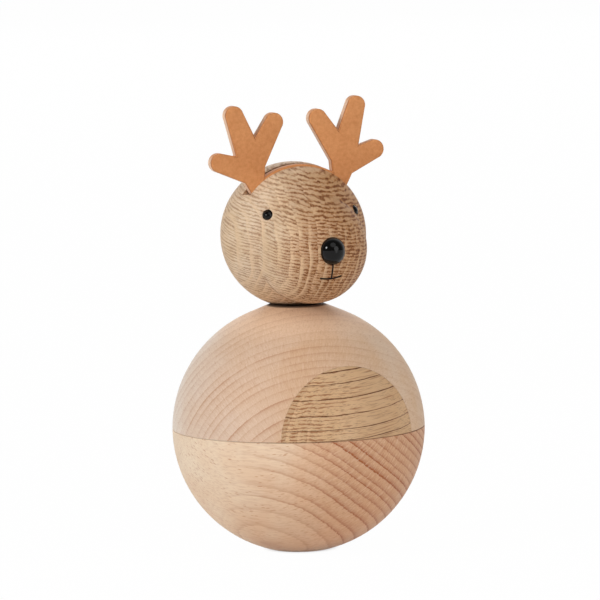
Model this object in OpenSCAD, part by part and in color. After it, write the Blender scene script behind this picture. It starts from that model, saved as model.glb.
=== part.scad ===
// Wooden reindeer figurine: a ball body in two halves, an oak head that turns on a dowel, leather antlers.
// Millimetres, +Z up, standing on z = 0, with the face and the belly towards -Y.

/* [Body] */
// Diameter of the ball body
body_d = 85; // [70:0.5:110]
// Diameter of the flat that the body stands on
base_flat_d = 20; // [14:0.5:30]
// Diameter of the flat on top that carries the head
neck_flat_d = 18.7; // [18:0.1:24]
// Diameter at which the ball runs out into the straight taper of the neck
neck_taper_d = 33; // [26:0.5:40]
// Height that the saw takes off the upper half
saw_loss = 0.7; // [0:0.1:2]
// Bevel on the rims of both halves, which shows as the seam
seam_bevel = 0.25; // [0.1:0.05:0.8]

/* [Belly inlay] */
// Diameter of the round oak plug, of which the upper half is left
inlay_d = 49; // [30:0.5:56]
// Distance from the body's axis to the flat bottom of the plug's pocket
inlay_floor = 26; // [22:0.5:30]

/* [Head] */
// Diameter of the head ball
head_d = 49; // [44:0.5:60]
// Diameter of the dome that makes the muzzle
muzzle_d = 37; // [32:0.5:40]
// Angle of the muzzle below level
muzzle_drop = 12; // [0:0.5:20]
// Radius of the hollow between the ball and the muzzle
crease_r = 4; // [0.6:0.2:6]
// Diameter of the flat under the head
head_flat_d = 16; // [14:0.2:18]
// Distance of the neck's hole ahead of the ball's middle, which balances the muzzle
neck_ahead = 1.8; // [0:0.1:2.4]
// Turn of the head from straight ahead
head_turn = -4.5; // [-180:0.5:180]

/* [Face] */
// Diameter of an eye
eye_d = 3.6; // [2.4:0.1:5]
// Angle of an eye to the side of straight ahead
eye_side = 44.5; // [35:0.5:52]
// Angle of an eye above level
eye_lift = 21; // [15:0.5:26]
// Depth of the hole for an eye
eye_hole = 5; // [4:0.5:8]
// Height of the eye's dome above the head
eye_proud = 0.5; // [0.3:0.05:1]
// Diameter of the nose bead
nose_d = 8.5; // [7.4:0.1:9.4]
// Height of the straight middle between the bead's round ends
nose_middle = 0.7; // [0.2:0.1:1.6]
// Angle of the nose above level, seen from the middle of the muzzle
nose_lift = 2; // [-6:0.5:8]
// Depth of the bead's middle below the muzzle
nose_inset = 0.9; // [0.5:0.1:2]
// Diameter of the peg behind the nose
nose_peg_d = 4; // [3:0.1:5]
// Length of the peg behind the nose
nose_peg = 7; // [5:0.5:9]
// Width of the line that draws the mouth
mouth_line = 0.45; // [0.3:0.05:0.8]
// Depth of the line that draws the mouth
mouth_depth = 0.35; // [0.2:0.05:0.6]
// Width of the mouth
mouth_w = 7.7; // [5:0.1:10]
// Height by which the corners of the mouth rise
mouth_smile = 0.5; // [0.2:0.05:1]
// Drop from the middle of the nose to the mouth
mouth_below = 9.3; // [7.5:0.1:10]
// Tilt of the mouth, low on the right side of the figure
mouth_tilt = -4; // [-8:0.5:8]

/* [Antlers] */
// Thickness of the leather
leather = 3.5; // [2:0.1:5]
// Distance of the leather's front face ahead of the head's middle
slot_ahead = 7.2; // [4:0.1:8]
// Depth of the saw slot below the top of the head
slot_depth = 9.3; // [7:0.1:10]
// Room in the slot behind the leather
slot_room = 0.6; // [0.2:0.1:1.2]
// Tilt of the slot, low on the right side of the figure
slot_tilt = -2; // [-6:0.5:6]
// Height of the strap above the wood
strap_proud = 0.2; // [0.1:0.1:1]
// Distance by which the leather sits to the figure's left in its slot
antler_aside = 0.3; // [-0.4:0.1:0.4]
// Distance of the strap's end inside the head's outline
foot_inset = 0.8; // [0.2:0.1:2]
// Width of the round tine tips
tip_w = 6.4; // [5:0.1:7.4]
// Tall tine's tip centre, outwards and upwards from the antler's foot
tall_tip = [5.1, 26.9]; // [-40:0.1:40]
// Inner tine's tip centre
inner_tip = [-9.1, 23.6]; // [-40:0.1:40]
// Outer tine's tip centre
outer_tip = [11.1, 11.6]; // [-40:0.1:40]
// Notch between the tall and the inner tine
inner_notch = [-1.9, 19]; // [-40:0.1:40]
// Notch between the tall and the outer tine
outer_notch = [5.1, 13.3]; // [-40:0.1:40]
// Corner where the stem meets the inner tine
inner_corner = [-4.9, 8.9]; // [-40:0.1:40]
// Corner where the stem meets the outer tine
outer_corner = [2.3, 4.1]; // [-40:0.1:40]

/* [Dowels and fits] */
// Diameter of the dowel across the seam
body_dowel_d = 10; // [8:0.5:14]
// Length of the dowel across the seam
body_dowel_l = 36; // [28:1:40]
// Diameter of the dowel that the head turns on
neck_dowel_d = 8; // [6:0.2:8.6]
// Depth to which the neck dowel is glued into the body
neck_in_body = 17; // [12:0.5:18]
// Length of the neck dowel inside the head
neck_in_head = 15; // [10:0.5:18]
// Bevel on the ends of the dowels
dowel_bevel = 0.8; // [0.4:0.1:1.5]
// Room at the ends of the dowels
dowel_room = 1; // [0.5:0.1:1.5]
// Radial room of the glued fits
glue_gap = 0.05; // [0.02:0.01:0.1]
// Radial room of the neck dowel in the head
turn_gap = 0.05; // [0.03:0.01:0.1]
// Height of the head above the neck flat
neck_gap = 0.2; // [0.1:0.05:0.5]

/* [Hidden] */
$fn = 128;

beech = [0.83, 0.68, 0.54];
oak = [0.74, 0.57, 0.40];
tan_leather = [0.79, 0.51, 0.29];
gloss_black = [0.04, 0.04, 0.04];

body_r = body_d / 2;
head_r = head_d / 2;
muzzle_r = muzzle_d / 2;
nose_r = nose_d / 2;
tip_r = tip_w / 2;

seam_z = sqrt(body_r ^ 2 - (base_flat_d / 2) ^ 2);
upper_z = seam_z - saw_loss;
taper_r = neck_taper_d / 2;
taper_up = sqrt(body_r ^ 2 - taper_r ^ 2);
taper_z = upper_z + taper_up;
neck_z = taper_z + (taper_r - neck_flat_d / 2) * taper_r / taper_up;
head_bottom = -sqrt(head_r ^ 2 - (head_flat_d / 2) ^ 2);
head_z = neck_z + neck_gap - head_bottom;

// The muzzle's rim is a circle on the head ball
muzzle_out = sqrt(head_r ^ 2 - muzzle_r ^ 2);
muzzle_y = -muzzle_out * cos(muzzle_drop);
muzzle_z = -muzzle_out * sin(muzzle_drop);
mouth_y = muzzle_y - muzzle_r / 2;
mouth_z = muzzle_z + (muzzle_r - nose_inset) * sin(nose_lift) - mouth_below;
mouth_bow_r = ((mouth_w / 2) ^ 2 + mouth_smile ^ 2) / (2 * mouth_smile);

// Slot and antlers, in the plane of the leather's front face
slot_floor = head_r - slot_depth;
slot_ball_r = sqrt(head_r ^ 2 - slot_ahead ^ 2);
foot = [sqrt(slot_ball_r ^ 2 - slot_floor ^ 2) - foot_inset, slot_floor + glue_gap];

// Cuts run past the surface that they open by this much
over = 1;
// A tine's straight sides end this far inside its round tip
tip_lap = 0.03;
// The hollow behind the muzzle runs this far into the ball and the muzzle
crease_lap = 0.03;

function heading(v) = atan2(v[1], v[0]);
function toward(angle) = [cos(angle), sin(angle)];
// Where a line from a point touches a circle, on the side given by +1 or -1
function touch(point, centre, r, side) =
    centre + r * toward(heading(point - centre) + side * acos(r / norm(point - centre)));

// Places its children in the head, with the head's middle as origin
module in_head() {
    translate([0, 0, head_z]) rotate([0, 0, head_turn]) translate([0, neck_ahead, 0]) children();
}

// Turns +Z to point out of the face: to the side of straight ahead, then up
module facing(side, lift) {
    rotate([0, 0, side]) rotate([90 - lift, 0, 0]) children();
}

module at_nose() {
    translate([0, muzzle_y, muzzle_z]) facing(0, nose_lift)
        translate([0, 0, muzzle_r - nose_inset]) children();
}

module at_eye(side) {
    facing(side * eye_side, eye_lift) translate([0, 0, head_r]) children();
}

// Half of a ball's section, between two heights
module ball_section(centre, low, high) {
    intersection() {
        translate([0, centre]) circle(body_r);
        translate([0, low]) square([body_r, high - low]);
    }
}

// Section of the bevel's waste on the rim at the seam, above it or below it
module seam_waste(side) {
    rim = body_r - seam_bevel;
    polygon([
        [rim, seam_z],
        [rim + 2 * over, seam_z],
        [rim + 2 * over, seam_z + side * 2 * over],
    ]);
}

// Upper half of the ball, which runs on inside the cone of the neck
module upper_ball() {
    rotate_extrude() difference() {
        ball_section(upper_z, seam_z, (taper_z + neck_z) / 2);
        seam_waste(1);
    }
    translate([0, 0, taper_z]) cylinder(r1 = taper_r, r2 = neck_flat_d / 2, h = neck_z - taper_z);
}

// Round plug of the belly from its flat bottom outwards
module belly_plug(r, floor) {
    translate([0, -floor, upper_z]) rotate([90, 0, 0]) cylinder(r = r, h = body_r);
}

module dowel(d, low, high) {
    rotate_extrude() polygon([
        [0, low],
        [d / 2 - dowel_bevel, low],
        [d / 2, low + dowel_bevel],
        [d / 2, high - dowel_bevel],
        [d / 2 - dowel_bevel, high],
        [0, high],
    ]);
}

module lower_body() {
    color(beech) rotate_extrude() difference() {
        ball_section(seam_z, 0, seam_z);
        seam_waste(-1);
        translate([0, seam_z - body_dowel_l / 2 - dowel_room])
            square([body_dowel_d / 2 + glue_gap, body_dowel_l]);
    }
}

module upper_body() {
    color(beech) difference() {
        upper_ball();
        belly_plug(inlay_d / 2, inlay_floor);
        translate([0, 0, seam_z - over])
            cylinder(d = body_dowel_d + 2 * glue_gap, h = body_dowel_l / 2 + dowel_room + over);
        translate([0, 0, neck_z - neck_in_body - dowel_room])
            cylinder(d = neck_dowel_d + 2 * glue_gap, h = neck_in_body + dowel_room + over);
    }
}

module belly_inlay() {
    color(oak) intersection() {
        upper_ball();
        belly_plug(inlay_d / 2 - glue_gap, inlay_floor + glue_gap);
    }
}

module body_dowel() {
    color(beech) dowel(body_dowel_d, seam_z - body_dowel_l / 2, seam_z + body_dowel_l / 2);
}

module neck_dowel() {
    color(beech) dowel(neck_dowel_d, neck_z - neck_in_body, neck_z + neck_in_head);
}

// Ball and muzzle as one turned form about the muzzle's axis, with the hollow between them
module head_form() {
    hollow_y = muzzle_out + crease_r * (head_r - muzzle_r) / muzzle_out;
    hollow_x = sqrt((head_r + crease_r) ^ 2 - hollow_y ^ 2);
    hollow = [hollow_x, hollow_y];
    muzzle = [0, muzzle_out];
    facing(0, -muzzle_drop) rotate_extrude() intersection() {
        translate([0, -head_r]) square([head_r, head_r + muzzle_out + muzzle_r]);
        union() {
            circle(head_r);
            translate(muzzle) circle(muzzle_r);
            difference() {
                polygon([
                    [0, 0],
                    hollow * head_r / (head_r + crease_r),
                    hollow,
                    muzzle + (hollow - muzzle) * muzzle_r / (muzzle_r + crease_r),
                    muzzle,
                ]);
                translate(hollow) circle(crease_r + crease_lap);
            }
        }
    }
}

// Saw slot across the top of the head, wider than the leather behind it
module slot() {
    slot_w = leather + glue_gap + slot_room;
    rotate([0, slot_tilt, 0])
        translate([-head_r, -slot_ahead - glue_gap, slot_floor])
            cube([head_d, slot_w, slot_depth + over]);
}

// Cuts its children, which run through the muzzle's face below the nose, to an even depth
module face_line() {
    difference() {
        translate([0, mouth_y, mouth_z]) children();
        translate([0, muzzle_y, muzzle_z]) sphere(muzzle_r - mouth_depth);
    }
}

// Straight line from the nose down to the mouth
module lip_cut() {
    face_line() translate([-mouth_line / 2, -muzzle_r, 0]) cube([mouth_line, muzzle_r, mouth_below]);
}

// Bowed line of the mouth
module mouth_cut() {
    face_line() rotate([0, mouth_tilt, 0]) intersection() {
        translate([0, 0, mouth_bow_r]) rotate([90, 0, 0]) difference() {
            cylinder(r = mouth_bow_r + mouth_line / 2, h = muzzle_r);
            translate([0, 0, -over]) cylinder(r = mouth_bow_r - mouth_line / 2, h = muzzle_r + 2 * over);
        }
        translate([-mouth_w / 2, -muzzle_r, -mouth_line])
            cube([mouth_w, muzzle_r, mouth_line + 2 * mouth_smile]);
    }
}

// Bead of the nose, upright, with its middle as origin
module bead(r) {
    rotate([90, 0, 0]) rotate_extrude() intersection() {
        translate([0, -nose_d]) square([nose_d, 2 * nose_d]);
        union() {
            square([2 * r, nose_middle], center = true);
            for (end = [-1, 1]) translate([0, end * nose_middle / 2]) circle(r);
        }
    }
}

module head() {
    color(oak) in_head() difference() {
        head_form();
        translate([0, 0, head_bottom - head_r]) cylinder(r = head_r, h = head_r);
        translate([0, -neck_ahead, head_bottom - over])
            cylinder(d = neck_dowel_d + 2 * turn_gap, h = over - neck_gap + neck_in_head + dowel_room);
        slot();
        for (side = [-1, 1])
            at_eye(side) translate([0, 0, -eye_hole])
                cylinder(d = eye_d + 2 * glue_gap, h = eye_hole + over);
        at_nose() {
            bead(nose_r + glue_gap);
            translate([0, 0, -nose_r - nose_peg - dowel_room])
                cylinder(d = nose_peg_d + 2 * glue_gap, h = nose_r + nose_peg + dowel_room);
        }
        lip_cut();
        mouth_cut();
    }
}

// Flat piece of leather with its back face on z = 0
module leather_cut() {
    linear_extrude(leather) children();
}

// Tine between two corners of the antler, with a round tip
module tine(root, left, tip, right) {
    leather_cut() polygon([
        root,
        left,
        touch(left, tip, tip_r - tip_lap, -1),
        tip,
        touch(right, tip, tip_r - tip_lap, 1),
        right,
    ]);
    leather_cut() translate(tip) circle(tip_r);
}

// Antler outwards and upwards from its foot
module antler() {
    palm = (inner_corner + inner_notch + outer_notch + outer_corner) / 4;
    leather_cut() polygon([
        [0, 0],
        outer_corner,
        outer_notch,
        inner_notch,
        inner_corner,
        [inner_corner[0], 0],
    ]);
    tine(palm, inner_corner, inner_tip, inner_notch);
    tine(palm, inner_notch, tall_tip, outer_notch);
    tine(palm, outer_notch, outer_tip, outer_corner);
}

module strap() {
    leather_cut() intersection() {
        circle(slot_ball_r + strap_proud);
        translate([antler_aside - foot[0], foot[1]]) square([2 * foot[0], slot_depth]);
    }
}

module antlers() {
    color(tan_leather) in_head() rotate([0, slot_tilt, 0])
        translate([0, leather - slot_ahead, 0]) rotate([90, 0, 0]) {
            strap();
            for (side = [0, 1])
                translate([antler_aside, 0, 0]) mirror([side, 0, 0]) translate(foot) antler();
        }
}

module nose() {
    color(gloss_black) in_head() at_nose() {
        bead(nose_r);
        translate([0, 0, -nose_r - nose_peg]) cylinder(d = nose_peg_d, h = nose_r + nose_peg);
    }
}

// Peg with a domed end that stands out of the head
module eye(side) {
    dome_r = ((eye_d / 2) ^ 2 + (2 * eye_proud) ^ 2) / (4 * eye_proud);
    color(gloss_black) in_head() at_eye(side) rotate_extrude() intersection() {
        translate([0, eye_proud - dome_r]) circle(dome_r);
        translate([0, dowel_room - eye_hole]) square([eye_d / 2, eye_hole]);
    }
}

module left_eye() {
    eye(1);
}

module right_eye() {
    eye(-1);
}

lower_body();
upper_body();
belly_inlay();
body_dowel();
neck_dowel();
head();
antlers();
nose();
left_eye();
right_eye();
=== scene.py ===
import math

import bmesh
import bpy
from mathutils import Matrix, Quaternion, Vector


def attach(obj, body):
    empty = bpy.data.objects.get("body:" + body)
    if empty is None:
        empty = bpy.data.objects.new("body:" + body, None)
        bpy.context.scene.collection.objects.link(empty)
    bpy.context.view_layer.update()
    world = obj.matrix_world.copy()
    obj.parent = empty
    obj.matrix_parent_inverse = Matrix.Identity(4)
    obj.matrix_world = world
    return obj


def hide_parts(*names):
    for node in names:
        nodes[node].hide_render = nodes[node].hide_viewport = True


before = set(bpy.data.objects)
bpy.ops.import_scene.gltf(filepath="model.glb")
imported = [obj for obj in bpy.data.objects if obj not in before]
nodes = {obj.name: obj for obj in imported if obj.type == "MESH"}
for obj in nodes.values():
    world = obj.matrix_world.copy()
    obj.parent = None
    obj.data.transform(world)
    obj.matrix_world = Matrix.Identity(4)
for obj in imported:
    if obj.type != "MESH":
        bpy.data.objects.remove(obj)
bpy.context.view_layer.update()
mm = 0.001  # places and sizes are in millimetres, the lamps' and the floor's in metres
upward = (0, 0, 1)
print("frame loaded:", len(nodes), "nodes")


def towards(azimuth, elevation=0):  # a direction from the figure, in degrees round from its front
    turn = math.radians(azimuth)
    rise = math.radians(elevation)
    return Vector((math.sin(turn) * math.cos(rise), -math.cos(turn) * math.cos(rise), math.sin(rise)))


def shade255(red, green, blue):  # a colour as it is seen, 0 to 255, to the linear one of the shaders
    seen = [channel / 255 for channel in (red, green, blue)]
    linear = [c / 12.92 if c <= 0.04045 else ((c + 0.055) / 1.055) ** 2.4 for c in seen]
    return (*linear, 1)


bodyRadius = 42.5  # balls as they are turned in the solids
headMiddle = (0.14, 1.79, 106.14)
headTurn = -4.5  # the head looks a little past the belly inlay
headFront = towards(headTurn)
paintedJointShade = shade255(50, 29, 17)  # painted shade in the gap where the head sits on the body
woodFinish = {"IOR": 1.45, "Specular IOR Level": 0.35}


def pick(sockets, key):  # by number, identifier or name
    if isinstance(key, int):
        return sockets[key]
    for socket in sockets:
        if socket.identifier == key:
            return socket
    return sockets[key]


class Sock:  # a shader socket; sums on sockets add Math nodes
    def __init__(self, tree, out=None):
        self.tree = tree
        self.out = out

    def node(self, kind, settings, inputs, result=0):  # inputs are values or links
        made = self.tree.nodes.new("ShaderNode" + kind)
        for name, value in settings.items():
            if name == "stops":
                ramp = made.color_ramp
                while len(ramp.elements) < len(value):
                    ramp.elements.new(1)
                for element, (position, level) in zip(ramp.elements, value):
                    element.position = position
                    element.color = (level, level, level, 1)
            else:
                setattr(made, name, value)
        for name, value in inputs.items():
            socket = pick(made.inputs, name)
            if isinstance(value, Sock):
                self.tree.links.new(value.out, socket)
            else:
                socket.default_value = value
        return Sock(self.tree, pick(made.outputs, result))

    def math(self, operation, *values):
        return self.node("Math", {"operation": operation}, dict(enumerate(values)))

    def vector(self, operation, *values, result="Vector"):
        return self.node("VectorMath", {"operation": operation}, dict(enumerate(values)), result)

    def dot(self, direction):
        return self.vector("DOT_PRODUCT", self, direction, result="Value")

    def length(self):
        return self.vector("LENGTH", self, result="Value")

    def join(self, x, y, z):
        return self.node("CombineXYZ", {}, {"X": x, "Y": y, "Z": z})

    def coordinate(self, name):
        return self.node("TexCoord", {}, {}, name)

    def step(self, low, high):  # smooth from 0 at low to 1 at high
        settings = {"interpolation_type": "SMOOTHSTEP"}
        return self.node("MapRange", settings, {"Value": self, "From Min": low, "From Max": high}, "Result")

    def ramp(self, *stops):
        return self.node("ValToRGB", {"stops": stops}, {"Fac": self}, "Color")

    def noise(self, place, scale, detail=2.0, rough=0.5):
        inputs = {"Vector": place, "Scale": scale, "Detail": detail, "Roughness": rough}
        return self.node("TexNoise", {}, inputs, "Fac")

    def stretched(self, place, sizes, detail=2.0, rough=0.5):  # noise with its own size each way
        return self.noise(place.vector("DIVIDE", place, sizes), 1.0, detail, rough)

    def chance(self, number):  # a random level for each whole number
        return self.node("TexWhiteNoise", {"noise_dimensions": "1D"}, {"W": number}, "Value")

    def mix(self, first, second):  # two colours, with self as the factor
        inputs = {"Factor_Float": self, "A_Color": first, "B_Color": second}
        return self.node("Mix", {"data_type": "RGBA"}, inputs, "Result_Color")

    def __add__(self, other):
        return self.math("ADD", self, other)

    def __sub__(self, other):
        return self.math("SUBTRACT", self, other)

    def __rsub__(self, other):
        return self.math("SUBTRACT", other, self)

    def __mul__(self, other):
        return self.math("MULTIPLY", self, other)

    def __truediv__(self, other):
        return self.math("DIVIDE", self, other)

    __radd__ = __add__
    __rmul__ = __mul__


def newMaterial(name):
    material = bpy.data.materials.new(name)
    material.use_nodes = True
    return material, Sock(material.node_tree)


def dress(material, shade, colour, rough, height, depth, finish):
    shader = material.node_tree.nodes["Principled BSDF"]
    for name, value in finish.items():
        shader.inputs[name].default_value = value
    bump = shade.node("Bump", {}, {"Strength": 1.0, "Distance": depth * mm, "Height": height}, "Normal")
    for name, value in {"Base Color": colour, "Roughness": rough, "Normal": bump}.items():
        material.node_tree.links.new(value.out, shader.inputs[name])
    return material


def placeFrom(shade, point):  # millimetres from a point
    place = shade.coordinate("Object")
    return place.vector("MULTIPLY_ADD", place, (1 / mm,) * 3, -Vector(point))


def overFloor(shade):  # millimetres over the floor
    return placeFrom(shade, (0, 0, 0)).dot(upward)


def depthUnder(shade, ball):  # millimetres under the face of a turned ball
    return ball["radius"] - placeFrom(shade, ball["middle"]).length()


# the drift directions point to the camera's right, away from the window light, so this change is partly the
# wood's own tone and partly painted shade
def drifting(shade, wood):  # slow change of tone across the piece, from 0 to 1
    return placeFrom(shade, wood["middle"]).dot(wood["drift"]).step(*wood["driftSpan"])


def grainAxes(wood):  # from the pith to the piece, round the pith and along the grain
    along = Vector(wood["grain"]).normalized()
    toPiece = Vector(wood["middle"]) - Vector(wood["pith"])
    out = toPiece - along * toPiece.dot(along)
    return out, along.cross(out.normalized()), along


def grainSpace(shade, wood):  # millimetres out from the pith, round it and along the grain
    out, side, along = grainAxes(wood)
    fromPith = placeFrom(shade, wood["pith"])
    x = fromPith.dot(out.normalized())
    y = fromPith.dot(side)
    radius = shade.math("SQRT", x * x + y * y)
    around = shade.math("ARCTAN2", y, x) * out.length
    return fromPith, radius, around, fromPith.dot(along)


def endOn(shade, wood):  # how far a face is cut across the grain
    facing = shade.coordinate("Normal").dot(grainAxes(wood)[2])
    return shade.math("MAXIMUM", facing, facing * -wood["farEnd"])


def ringsOf(shade, fromPith, radius, wood):  # place within a year's ring, from 0 to 1, and its number
    slow = shade.noise(fromPith, 1 / wood["waveLength"], 1.0)
    fewYears = wood["ring"] * 4  # rings stay about as wide for so long
    years = {"W": radius / fewYears, "Scale": 1.0}
    spacing = shade.node("TexNoise", {"noise_dimensions": "1D"}, years, "Fac")
    year = (radius + (slow - 0.5) * wood["wave"]) / wood["ring"] + (spacing - 0.5) * wood["uneven"]
    return shade.math("FRACT", year), shade.math("FLOOR", year)


def flecks(shade, place, cell, half, soft):  # one lens-shaped mark in each cell
    scaled = place.vector("DIVIDE", place, cell)
    nearest = shade.node("TexVoronoi", {}, {"Vector": scaled, "Scale": 1.0}, "Position")
    offset = scaled.vector("SUBTRACT", scaled, nearest)
    relative = offset.vector("MULTIPLY", offset, [c / h for c, h in zip(cell, half)])
    return 1 - relative.length().step(soft, 1.0)


def beechMaterial(name, wood):
    material, shade = newMaterial(name)
    fromPith, radius, around, along = grainSpace(shade, wood)
    grain = shade.join(radius, around, along)
    cut = endOn(shade, wood).step(*wood["endSpan"])
    drift = drifting(shade, wood)
    up = overFloor(shade)
    ripple = shade.stretched(grain, wood["rippleSize"], 1.0) - 0.5
    part, number = ringsOf(shade, fromPith, radius + ripple * wood["ripple"], wood)
    line = part.ramp(*wood["year"]) * (wood["yearLeast"] + shade.chance(number) * wood["yearMore"])
    line = line * shade.noise(fromPith, wood["patchScale"], 1.0).step(*wood["patch"])
    line = line * (wood["lineLeast"] + drift.step(*wood["lineDrift"]) * (1 - wood["lineLeast"]))
    rays = flecks(shade, grain, wood["rayCell"], wood["rayHalf"], wood["raySoft"])
    rays = rays * shade.noise(grain, wood["rayPatchScale"], 1.0).step(*wood["rayPatch"])
    pores = shade.stretched(grain, wood["poreSize"], 3.0, 0.6)
    poreLine = (wood["poreLevel"] - pores).step(*wood["poreSpan"])
    hair = shade.stretched(grain, wood["hair"], 2.0, 0.6) - 0.5  # the finest rays
    cloud = shade.noise(fromPith, wood["cloudScale"], 2.0).step(*wood["cloudSpan"])
    # towards the drift the beech grows warmer and darker: partly its own tone, partly painted shade
    colour = (cloud * wood["cloudShare"] + drift * wood["driftShare"]).mix(wood["pale"], wood["warm"])
    colour = (cut * wood["endDark"]).mix(colour, wood["end"])
    if "crown" in wood:  # painted light: the top of the ball under the head is lighter and warmer, and its lines are fainter
        line = line * (1 - up.step(*wood["fade"]) * wood["fadeShare"])
        colour = (up.step(*wood["crown"]) * wood["crownPaintedLightShare"]).mix(colour, wood["crownPaintedLight"])
    lineShare = wood["lineSide"] + cut * (wood["lineEnd"] - wood["lineSide"])
    hairShare = wood["hairSide"] + cut * wood["hairEnd"]
    colour = (line * lineShare).mix(colour, wood["line"])
    colour = (hair.step(*wood["hairPale"]) * hairShare).mix(colour, wood["hairTone"])
    colour = ((0 - hair).step(*wood["hairDark"]) * hairShare).mix(colour, wood["line"])
    colour = (rays * wood["rayDark"]).mix(colour, wood["ray"])
    colour = (poreLine * wood["poreDark"]).mix(colour, wood["line"])
    if "ball" in wood:  # darker in the saw cut between the halves, and painted shade on the flat under the head
        seam = depthUnder(shade, wood["ball"]).step(*wood["seamSpan"])
        colour = (seam * (wood["seamLeast"] + drift * wood["seamMore"])).mix(colour, wood["seam"])
        colour = (up.step(*wood["jointShadeSpan"]) * wood["jointShadeShare"]).mix(colour, paintedJointShade)
    rough = wood["rough"] + pores * wood["roughMore"]
    height = pores * wood["poreRelief"] - rays * wood["rayRelief"] - line * wood["lineRelief"]
    return dress(material, shade, colour, rough, height, wood["relief"], woodFinish)


# three sizes together run out from the pith, round it and along the grain; scales are per millimetre
beech = {  # shared by all the beech
    "rippleSize": (9.0, 0.7, 6.0), "patchScale": 0.09, "yearLeast": 0.4, "yearMore": 0.8,
    "year": ((0, 0.75), (0.05, 0.0), (0.45, 0.06), (0.8, 0.4), (0.95, 1.0), (1, 0.9)),
    "lineDrift": (0.15, 0.5), "hairPale": (0, 0.18), "hairDark": (0.03, 0.2),
    "raySoft": 0.5, "rayPatchScale": 0.12, "rayPatch": (0.3, 0.6),
    "poreSize": (0.5, 0.5, 7.0), "poreLevel": 0.62, "poreSpan": (0.05, 0.3),
    "cloudScale": 0.06, "cloudSpan": (0.3, 0.7), "cloudShare": 0.3, "driftShare": 0.7,
    "seam": shade255(104, 68, 44), "seamSpan": (0.03, 0.14), "seamLeast": 0.2, "seamMore": 0.55,
    # painted shade on the flat where the head sits on the body
    "jointShadeSpan": (82.3, 82.7), "jointShadeShare": 0.85, "rough": 0.5, "roughMore": 0.14,
    "relief": 0.05, "poreRelief": 0.6, "rayRelief": 0.4, "lineRelief": 0.06,
}
upperBeech = {
    **beech, "ball": {"middle": (0, 0, 40.607), "radius": bodyRadius},
    "pith": (9.4, -30.4, -6.5), "grain": (-0.63, -0.708, 0.318), "middle": (0, 0, 62),
    "drift": (0.88, -0.46, 0.1), "driftSpan": (-40, 3), "farEnd": 0.6,
    "ring": 2.8, "wave": 2.2, "waveLength": 38, "uneven": 1.1, "ripple": 0.35, "patch": (0.1, 0.55),
    "pale": shade255(230, 219, 206), "warm": shade255(214, 178, 142),
    "end": shade255(204, 165, 134), "endSpan": (0.35, 0.95), "endDark": 0.5,
    "line": shade255(176, 120, 86), "lineSide": 0.24, "lineEnd": 0.7, "lineLeast": 1.0,
    "hair": (3.5, 0.42, 2.2), "hairSide": 0.07, "hairEnd": 0.08, "hairTone": shade255(240, 220, 198),
    "ray": shade255(182, 130, 96), "rayCell": (4.5, 1.1, 3.4), "rayHalf": (1.8, 0.13, 0.8), "rayDark": 0.45,
    "poreDark": 0.2, "fade": (60, 82), "fadeShare": 0.5,
    # painted light on the top of the ball, where the head shades it
    "crown": (71, 80), "crownPaintedLightShare": 0.75, "crownPaintedLight": shade255(238, 203, 171),
}
lowerBeech = {
    **beech, "ball": {"middle": (0, 0, 41.307), "radius": bodyRadius},
    "pith": (86.0, -34.5, 118.2), "grain": (0.662, -0.749, -0.056), "middle": (0, 0, 20),
    "drift": (0.78, -0.42, -0.42), "driftSpan": (-42, 22), "farEnd": 0.25,
    "ring": 2.5, "wave": 2.4, "waveLength": 36, "uneven": 1.2, "ripple": 0.6, "patch": (0.0, 0.3),
    "pale": shade255(236, 216, 190), "warm": shade255(217, 172, 134),
    "end": shade255(206, 158, 120), "endSpan": (0.2, 0.85), "endDark": 0.75,
    "line": shade255(160, 86, 44), "lineSide": 0.44, "lineEnd": 1.2, "lineLeast": 0.12,
    "hair": (4.0, 0.45, 2.2), "hairSide": 0.04, "hairEnd": 0.24, "hairTone": shade255(240, 214, 186),
    "ray": shade255(176, 104, 62), "rayCell": (3.4, 1.0, 2.6), "rayHalf": (1.4, 0.14, 0.9), "rayDark": 0.6,
    "poreDark": 0.18,
}
dowelBeech = {**upperBeech, "grain": (0.02, 0, 1), "pith": (30, 12, 0), "middle": (0, 0, 40)}
del dowelBeech["ball"]  # a dowel isn't turned from the ball
print("beech chosen")


def stroke(shade, distance, line):  # 1 on a drawn line, 0 away from it
    return 1 - shade.math("ABSOLUTE", distance).step(*line)


def mouthLine(shade, mouth):  # burnt in, a little wider than its cut
    fromMouth = placeFrom(shade, mouth["place"])
    across = fromMouth.dot(towards(headTurn + 90))
    up = fromMouth.dot(upward)
    tilt = math.radians(mouth["tilt"])
    bowAcross = across - mouth["bow"] * math.sin(tilt)
    bowUp = up - mouth["bow"] * math.cos(tilt)
    fromBow = shade.math("SQRT", bowAcross * bowAcross + bowUp * bowUp) - mouth["bow"]
    fromMiddle = across * math.cos(tilt) - up * math.sin(tilt)
    ends = (mouth["half"] - mouth["soft"], mouth["half"] + mouth["soft"])
    lips = stroke(shade, fromBow, mouth["line"]) * stroke(shade, fromMiddle, ends)
    stem = stroke(shade, across, mouth["line"]) * up.step(-mouth["soft"], mouth["soft"])
    return shade.math("MAXIMUM", lips, stem)


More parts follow.
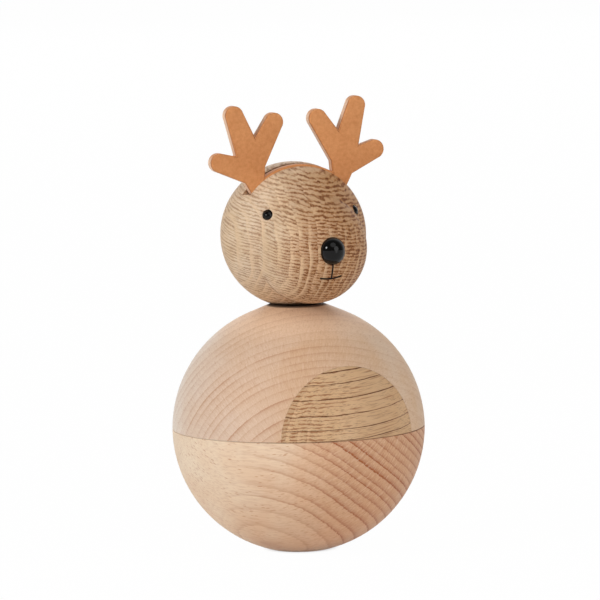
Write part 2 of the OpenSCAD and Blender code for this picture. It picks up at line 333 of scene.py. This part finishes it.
def headMarks(shade, colour, wood):  # black mouth, and painted shade in the slot, at the joint and in the hollow under the muzzle
    depth = shade.math("MAXIMUM", *[depthUnder(shade, ball) for ball in wood["balls"]])
    mouth = wood["mouth"]
    burnt = shade.math("MAXIMUM", depth.step(*mouth["cut"]), mouthLine(shade, mouth))
    burnt = burnt * depthUnder(shade, mouth["window"]).step(*mouth["windowEdge"])
    colour = burnt.mix(colour, mouth["black"])
    slot = wood["slot"]
    # painted shade inside the saw slot behind the strap
    slotShade = depth.step(*slot["cut"]) * depthUnder(shade, slot["window"]).step(*slot["windowEdge"])
    colour = slotShade.mix(colour, slot["dark"])
    up = overFloor(shade)
    # painted shade on the head's underside, where it sits on the body
    colour = ((1 - up.step(*wood["jointShadeSpan"])) * wood["jointShadeShare"]).mix(colour, paintedJointShade)
    # painted shade in the crease under the muzzle
    hollowShade = (0 - depth).step(*wood["hollowGap"]) * (1 - up.step(*wood["hollowTop"]))
    return (hollowShade * wood["hollowShadeShare"]).mix(colour, wood["pore"])


def oakMaterial(name, wood):
    material, shade = newMaterial(name)
    fromPith, radius, around, along = grainSpace(shade, wood)
    grain = shade.join(radius, around, along)
    ray = wood["ray"]
    cut = endOn(shade, wood).step(*wood["cutSpan"])
    outOn = shade.coordinate("Normal").dot(grainAxes(wood)[0].normalized())
    drift = drifting(shade, wood)
    sway = shade.stretched(grain, wood["sway"], 1.0) - 0.5
    planks = around / wood["rayStep"] + sway * wood["swayDepth"]  # from one ray to the next
    plank = shade.math("FRACT", planks)
    chance = shade.chance(shade.math("FLOOR", planks))
    wander = shade.stretched(grain, wood["wander"]) - 0.5
    crackle = shade.stretched(grain, wood["crackle"], 3.0, 0.6) - 0.5
    shift = wander * wood["wanderDepth"] + crackle * wood["crackleDepth"] + chance * wood["plankShift"]
    rays = plank.ramp(*ray["stops"]) * (ray["least"] + chance * (1 - ray["least"]))
    rays = rays * shade.stretched(grain, wood["rayBreak"], 1.0).step(*wood["rayBreakSpan"])
    rays = rays * (1 - outOn.step(*wood["rayOutSpan"])) * (ray["side"] + cut * (1 - ray["side"]))
    part = ringsOf(shade, fromPith, radius + shift, wood)[0]
    dash = shade.stretched(grain, wood["dash"], 3.0) - 0.5
    row = part.ramp(*wood["row"]) + dash * (wood["dashShare"] + drift * wood["dashDeep"])
    row = row + cut * wood["endMore"]
    band = row.step(*wood["bandSpan"])
    if "fineRow" in wood:  # finer rows of pores that thin out from one end of the board
        fineRow = wood["fineRow"]
        streak = shade.stretched(grain, fineRow["dash"]) - 0.5
        fine = shade.math("FRACT", (radius + shift * fineRow["shift"]) / fineRow["step"])
        fine = fine.ramp(*fineRow["stops"]) + streak * fineRow["dashShare"] - drift * fineRow["drift"]
        band = shade.math("MAXIMUM", band, fine.step(*fineRow["span"]))
    between = 1 - rays * ray["cut"]  # the rays cut through bands and pores
    grit = shade.stretched(grain, wood["grit"], 2.0, 0.6).step(*wood["gritSpan"])
    pores = row.step(*wood["dashSpan"]) * between * (1 - wood["gritShare"] + grit * wood["gritShare"])
    fibre = shade.stretched(grain, wood["fibre"], 3.0, 0.6)
    cloud = shade.noise(fromPith, wood["cloudScale"], 2.0).step(*wood["cloudSpan"])
    plankShade = cut * (1 - plank) + chance * wood["plankChance"]
    poreShare = wood["poreDark"] + cut * wood["poreEnd"] + drift * wood["poreDeep"]
    colour = cloud.mix(wood["pale"], wood["warm"])
    # towards the drift the oak grows deeper in tone: partly its own tone, partly painted shade
    colour = (drift * wood["deepShare"]).mix(colour, wood["deep"])
    colour = (cut * wood["endDark"]).mix(colour, wood["end"])
    colour = (fibre.step(*wood["fibreSpan"]) * wood["fibreDark"]).mix(colour, wood["pore"])
    colour = (plankShade * wood["plankDark"]).mix(colour, wood["pore"])
    colour = (band * between * (wood["bandDark"] + drift * wood["bandDeep"])).mix(colour, wood["band"])
    colour = (pores * poreShare).mix(colour, wood["pore"])
    colour = (rays * ray["pale"]).mix(colour, ray["colour"])
    if "mouth" in wood:
        colour = headMarks(shade, colour, wood)
    rough = wood["rough"] + fibre * wood["roughMore"]
    height = fibre * wood["fibreRelief"] - pores
    return dress(material, shade, colour, rough, height, wood["relief"], woodFinish)


oak = {  # shared by both pieces of oak
    "cutSpan": (0.3, 0.9), "farEnd": 0.6, "plankChance": 0.5,
    "rayBreak": (8.0, 3.0, 9.0), "rayBreakSpan": (0.3, 0.55), "rayOutSpan": (0.45, 0.75),
    "gritSpan": (0.4, 0.57), "cloudScale": 0.07, "cloudSpan": (0.3, 0.7), "fibreSpan": (0.5, 0.75),
    "rough": 0.5, "roughMore": 0.16, "fibreRelief": 0.35,
}
headOak = {
    **oak, "pith": (-11.6, 23.7, -0.8), "grain": (-0.077, -0.975, -0.208), "middle": (0, 0, 106),
    "drift": (0.88, -0.46, -0.04), "driftSpan": (-13, 19),
    "ring": 1.04, "wave": 1.0, "waveLength": 14, "uneven": 0.8, "row": ((0, 0), (0.5, 1), (1, 0)),
    "wander": (2.5, 5.0, 12.0), "wanderDepth": 1.3, "crackle": (0.45, 0.55, 1.8), "crackleDepth": 0.8,
    "sway": (14, 8, 18), "swayDepth": 1.6, "rayStep": 2.6, "plankShift": 0.55, "plankDark": 0.28,
    "pale": shade255(228, 206, 178), "warm": shade255(219, 191, 156),
    "deep": shade255(174, 115, 46), "deepShare": 0.66,
    "end": shade255(205, 161, 121), "endDark": 0.4, "endMore": 0.05,
    "pore": shade255(110, 58, 26), "poreDark": 0.44, "poreEnd": 0.2, "poreDeep": 1.0,
    "dash": (1.0, 1.5, 9.0), "dashShare": 1.4, "dashDeep": 1.3, "dashSpan": (0.6, 0.96),
    "band": shade255(166, 112, 62), "bandSpan": (0.38, 0.66), "bandDark": 0.34, "bandDeep": 0.54,
    "grit": (0.28, 0.3, 1.4), "gritShare": 0.8, "fibre": (0.3, 0.5, 4.0), "fibreDark": 0.5, "relief": 0.05,
    "ray": {
        "stops": ((0, 0), (0.55, 0.05), (0.75, 0.6), (0.93, 1), (1, 0)), "colour": shade255(220, 188, 150),
        "pale": 0.6, "cut": 0.8, "side": 1.0, "least": 0.45,
    },
    "balls": [{"middle": headMiddle, "radius": 24.5}, {"middle": (-1.09, -13.87, 102.8), "radius": 18.5}],
    "mouth": {
        "place": (-1.82, -23.09, 94.12), "tilt": -4, "bow": 15.07, "half": 3.85,
        "line": (0.2, 0.4), "soft": 0.1,
        "window": {"middle": (-2.4, -30.8, 95), "radius": 9}, "windowEdge": (0, 0.5),
        "cut": (0.05, 0.15), "black": shade255(16, 13, 11),
    },
    # painted shade inside the saw slot
    "slot": {
        "window": {"middle": (0, -4, 126), "radius": 17}, "windowEdge": (0, 2),
        "cut": (0.1, 0.5), "dark": shade255(40, 24, 14),
    },
    # painted shade at the joint and in the hollow under the muzzle
    "jointShadeSpan": (83.2, 84.5), "jointShadeShare": 0.92,
    "hollowGap": (0, 0.22), "hollowTop": (88, 97), "hollowShadeShare": 0.75,
}
inlayOak = {
    **oak, "pith": (0, -20, -80), "grain": (-0.97, -0.24, -0.09), "middle": (0, -36, 54),
    "drift": (0.88, -0.46, 0), "driftSpan": (-18, 12),
    "ring": 4.2, "wave": 0.8, "waveLength": 30, "uneven": 1.1,
    "row": ((0, 0), (0.4, 0), (0.48, 1), (0.56, 0), (1, 0)),
    "wander": (3.0, 2.5, 24.0), "wanderDepth": 0.7, "crackle": (0.5, 0.6, 6.0), "crackleDepth": 0.15,
    "sway": (12, 8, 20), "swayDepth": 1.0, "rayStep": 2.4, "plankShift": 0.0, "plankDark": 0.2,
    "pale": shade255(216, 182, 143), "warm": shade255(206, 168, 126),
    "deep": shade255(200, 158, 118), "deepShare": 0.5,
    "end": shade255(212, 173, 133), "endDark": 0.6, "endMore": 0.0,
    "pore": shade255(84, 48, 24), "poreDark": 0.95, "poreEnd": 0.0, "poreDeep": 0.0,
    "dash": (1.6, 1.6, 26), "dashShare": 1.2, "dashDeep": 0.0, "dashSpan": (0.55, 0.8),
    "band": shade255(134, 72, 28), "bandSpan": (0.4, 0.8), "bandDark": 0.72, "bandDeep": -0.2,
    "grit": (0.3, 0.35, 3.0), "gritShare": 0.4, "fibre": (0.25, 0.6, 9.0), "fibreDark": 0.6, "relief": 0.08,
    "ray": {
        "stops": ((0, 0), (0.6, 0), (0.8, 0.8), (0.93, 1), (1, 0)), "colour": shade255(226, 192, 154),
        "pale": 0.6, "cut": 0.8, "side": 0.05, "least": 0.3,
    },
    "fineRow": {
        "step": 1.25, "shift": 2, "stops": ((0, 0), (0.5, 1), (1, 0)), "span": (0.5, 0.9),
        "dash": (0.7, 1.4, 13.0), "dashShare": 2, "drift": 0.4,
    },
}
print("oak chosen")

leather = {  # scales are per metre
    "face": shade255(214, 147, 93), "dark": shade255(184, 114, 62),
    "edge": shade255(170, 108, 68), "core": shade255(234, 200, 172),
    "mottleScale": 800, "mottleSpan": (0.3, 0.75), "mottleShare": 0.44,
    "cloudScale": 45, "cloudSpan": (0.35, 0.7), "cloudShare": 0.3,
    "fibreScale": 1400, "fibreSpan": (0.45, 0.75), "fibreShare": 0.3, "cellScale": 1900,
    "edgeSpan": (0.3, 0.75), "edgeShare": 0.85, "topSpan": (0.3, 0.8), "topLess": 0.7,
    "coreSpan": (4.2, 4.7), "coreWobble": 0.3, "rough": 0.55, "roughMore": 0.12,
    "relief": 0.06, "cellRelief": 0.5, "mottleRelief": 0.5,
    "finish": {"IOR": 1.45, "Specular IOR Level": 0.3},
    "bevel": 0.45, "bevelSteps": 4, "foldAngle": 40, "flatAngle": 1, "weld": 0.002,
    "strapRadius": 23.62, "strapNear": 0.04, "strapOver": 8, "strapLift": 0.45,
}


def leatherMaterial():
    material, shade = newMaterial("tanLeather")
    place = shade.coordinate("Object")
    normal = shade.coordinate("Normal")
    mottle = shade.noise(place, leather["mottleScale"], 3.0, 0.6)
    cloud = shade.noise(place, leather["cloudScale"], 2.0).step(*leather["cloudSpan"])
    fibre = shade.noise(place, leather["fibreScale"], 2.0, 0.7)
    cells = shade.node("TexVoronoi", {}, {"Vector": place, "Scale": leather["cellScale"]}, "Distance")
    worn = mottle.step(*leather["mottleSpan"]) * leather["mottleShare"] + cloud * leather["cloudShare"]
    colour = worn.mix(leather["face"], leather["dark"])
    colour = (fibre.step(*leather["fibreSpan"]) * leather["fibreShare"]).mix(colour, leather["dark"])
    edge = 1 - shade.math("ABSOLUTE", normal.dot(headFront)).step(*leather["edgeSpan"])
    top = normal.dot(upward).step(*leather["topSpan"])
    layer = place.dot(headFront) / mm + (mottle - 0.5) * leather["coreWobble"]
    cutTone = (1 - layer.step(*leather["coreSpan"])).mix(leather["edge"], leather["core"])
    colour = (edge * (leather["edgeShare"] - top * leather["topLess"])).mix(colour, cutTone)
    rough = leather["rough"] + fibre * leather["roughMore"]
    height = cells * leather["cellRelief"] + mottle * leather["mottleRelief"]
    return dress(material, shade, colour, rough, height, leather["relief"], leather["finish"])


def cutLeather():  # the antlers and their strap with rounded edges
    mesh = nodes["antlers"].data.copy()
    body = bmesh.new()
    body.from_mesh(mesh)
    for vert in body.verts:  # the strap's top edge stands a little higher out of its slot
        out = vert.co / mm - Vector(headMiddle)
        out -= headFront * out.dot(headFront)
        onStrap = abs(out.length - leather["strapRadius"]) < leather["strapNear"]
        if onStrap and out.z > leather["strapOver"]:
            vert.co += out.normalized() * leather["strapLift"] * mm
    flat = math.radians(leather["flatAngle"])
    fold = math.radians(leather["foldAngle"])
    bmesh.ops.remove_doubles(body, verts=body.verts, dist=leather["weld"] * mm)
    bmesh.ops.dissolve_limit(body, angle_limit=flat, verts=body.verts, edges=body.edges)
    sharp = [e for e in body.edges if e.is_manifold and e.calc_face_angle(0) > fold]
    bmesh.ops.bevel(body, geom=sharp, offset=leather["bevel"] * mm, segments=leather["bevelSteps"],
                    profile=0.5, affect="EDGES", clamp_overlap=True)
    bmesh.ops.triangulate(body, faces=[f for f in body.faces if len(f.verts) > 4])
    for face in body.faces:
        face.smooth = True
    body.to_mesh(mesh)
    body.free()
    mesh.materials.clear()
    mesh.materials.append(leatherMaterial())
    piece = bpy.data.objects.new("leather_antlers", mesh)
    bpy.context.scene.collection.objects.link(piece)
    return piece


antlers = cutLeather()
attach(antlers, "head")
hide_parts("antlers")
print("leather cut")

gloss = {
    "dark": shade255(8, 7, 6), "dust": shade255(20, 19, 18), "dustScale": 900, "dustSpan": (0.5, 0.8),
    "dustShare": 0.4, "swirlScale": 160, "rough": 0.02, "roughMore": 0.05, "relief": 0.003,
    "finish": {"IOR": 1.3},
}


def blackMaterial():
    material, shade = newMaterial("glossBlack")
    place = shade.coordinate("Object")
    dust = shade.noise(place, gloss["dustScale"], 2.0).step(*gloss["dustSpan"])
    swirl = shade.noise(place, gloss["swirlScale"], 2.0)
    colour = (dust * gloss["dustShare"]).mix(gloss["dark"], gloss["dust"])
    rough = gloss["rough"] + swirl * gloss["roughMore"]
    return dress(material, shade, colour, rough, swirl, gloss["relief"], gloss["finish"])


dowelMaterial = beechMaterial("dowelBeech", dowelBeech)
beadMaterial = blackMaterial()
dressed = {
    "lower_body": beechMaterial("lowerBeech", lowerBeech),
    "upper_body": beechMaterial("upperBeech", upperBeech),
    "belly_inlay": oakMaterial("inlayOak", inlayOak),
    "head": oakMaterial("headOak", headOak),
    "body_dowel": dowelMaterial,
    "neck_dowel": dowelMaterial,
    "nose": beadMaterial,
    "left_eye": beadMaterial,
    "right_eye": beadMaterial,
}
for name, material in dressed.items():
    slots = nodes[name].data.materials
    slots.clear()
    slots.append(material)
print("nodes dressed:", len(dressed))

photo = {
    "azimuth": -27.2, "distance": 2000, "height": 309.6, "aim": 84, "aside": 1.21, "lean": 1.0,
    "lens": 359.4, "sensor": 36, "reach": 50000,
}


def setCamera():
    place = towards(photo["azimuth"]) * photo["distance"]
    place.z = photo["height"]
    target = towards(photo["azimuth"] + 90) * photo["aside"]
    target.z = photo["aim"]
    data = bpy.data.cameras.new("camera")
    data.lens = photo["lens"]
    data.sensor_width = photo["sensor"]
    data.clip_end = photo["reach"] * mm
    camera = bpy.data.objects.new("camera", data)
    camera.location = place * mm
    camera.rotation_mode = "QUATERNION"
    lean = Quaternion(upward, -math.radians(photo["lean"]))
    camera.rotation_quaternion = (target - place).to_track_quat("-Z", "Y") @ lean
    bpy.context.scene.collection.objects.link(camera)
    bpy.context.scene.camera = camera


lamps = {  # azimuth from the camera, below zero to its left
    "windowLight": {"azimuth": -58, "elevation": 22, "distance": 2.2, "size": 0.62, "watts": 21.5},
    "highLamp": {"azimuth": 12, "elevation": 52, "distance": 2.5, "size": 2.0, "watts": 13},
    "lowFill": {"azimuth": 38, "elevation": 16, "distance": 2.5, "size": 1.8, "watts": 18.5},
    "backFill": {"azimuth": 180, "elevation": 24, "distance": 2.5, "size": 2.0, "watts": 13},
}
lampAim = (0, 0, 0.08)


def addLamp(name, lamp):
    away = towards(photo["azimuth"] + lamp["azimuth"], lamp["elevation"])
    data = bpy.data.lights.new(name, "AREA")
    data.shape = "DISK"
    data.size = lamp["size"]
    data.energy = lamp["watts"]
    light = bpy.data.objects.new(name, data)
    light.location = Vector(lampAim) + away * lamp["distance"]
    light.rotation_mode = "QUATERNION"
    light.rotation_quaternion = (-away).to_track_quat("-Z", "Y")
    bpy.context.scene.collection.objects.link(light)


studio = {
    "sky": 0.28, "room": 0.15, "roomSpan": (-0.7, 0.0), "floor": 0.97, "floorSize": 8.0,
    "glow": 0.985, "shadowGlow": 0.12, "shadowSpan": (7, 13.5),
}
white = (1, 1, 1, 1)


def seenDirectly(shade):  # 1 for the camera, mirror and glass rays
    names = ("Is Camera Ray", "Is Glossy Ray", "Is Transmission Ray")
    camera, glossy, through = [shade.node("LightPath", {}, {}, name) for name in names]
    return shade.math("MAXIMUM", shade.math("MAXIMUM", camera, glossy), through)


def setWorld():
    world = bpy.data.worlds.new("studio")
    world.use_nodes = True
    shade = Sock(world.node_tree)
    seen = seenDirectly(shade)
    camera = shade.node("LightPath", {}, {}, "Is Camera Ray")
    room = shade.coordinate("Generated").dot(towards(photo["azimuth"])).step(*studio["roomSpan"])
    mirrored = 1 - room * (1 - studio["room"])  # white behind the figure, a dim room before it
    strength = camera + (seen - camera) * mirrored + (1 - seen) * studio["sky"]
    background = world.node_tree.nodes["Background"]
    background.inputs["Color"].default_value = white
    world.node_tree.links.new(strength.out, background.inputs["Strength"])
    bpy.context.scene.world = world


def floorMaterial():
    material, shade = newMaterial("paleFloor")
    tree = material.node_tree
    tree.nodes.remove(tree.nodes["Principled BSDF"])
    level = studio["floor"]
    matt = shade.node("BsdfDiffuse", {}, {"Color": (level, level, level, 1)}, "BSDF")
    glow = shade.node("Emission", {}, {"Color": white, "Strength": 1.0}, "Emission")
    away = placeFrom(shade, (0, 0, 0)).length()
    near = 1 - away.step(*studio["shadowSpan"])  # the floor shows more of its shadow close to the figure
    share = seenDirectly(shade) * (studio["glow"] - near * (studio["glow"] - studio["shadowGlow"]))
    both = shade.node("MixShader", {}, {0: share, 1: matt, 2: glow}, "Shader")
    tree.links.new(both.out, tree.nodes["Material Output"].inputs["Surface"])
    return material


def layFloor():
    half = studio["floorSize"] / 2
    corners = [(-half, -half, 0), (half, -half, 0), (half, half, 0), (-half, half, 0)]
    mesh = bpy.data.meshes.new("floor")
    mesh.from_pydata(corners, [], [(0, 1, 2, 3)])
    mesh.materials.append(floorMaterial())
    floor = bpy.data.objects.new("floor", mesh)
    bpy.context.scene.collection.objects.link(floor)


setCamera()
setWorld()
layFloor()
for name, lamp in lamps.items():
    addLamp(name, lamp)
bpy.context.scene.view_settings.view_transform = "Standard"
print("studio set")
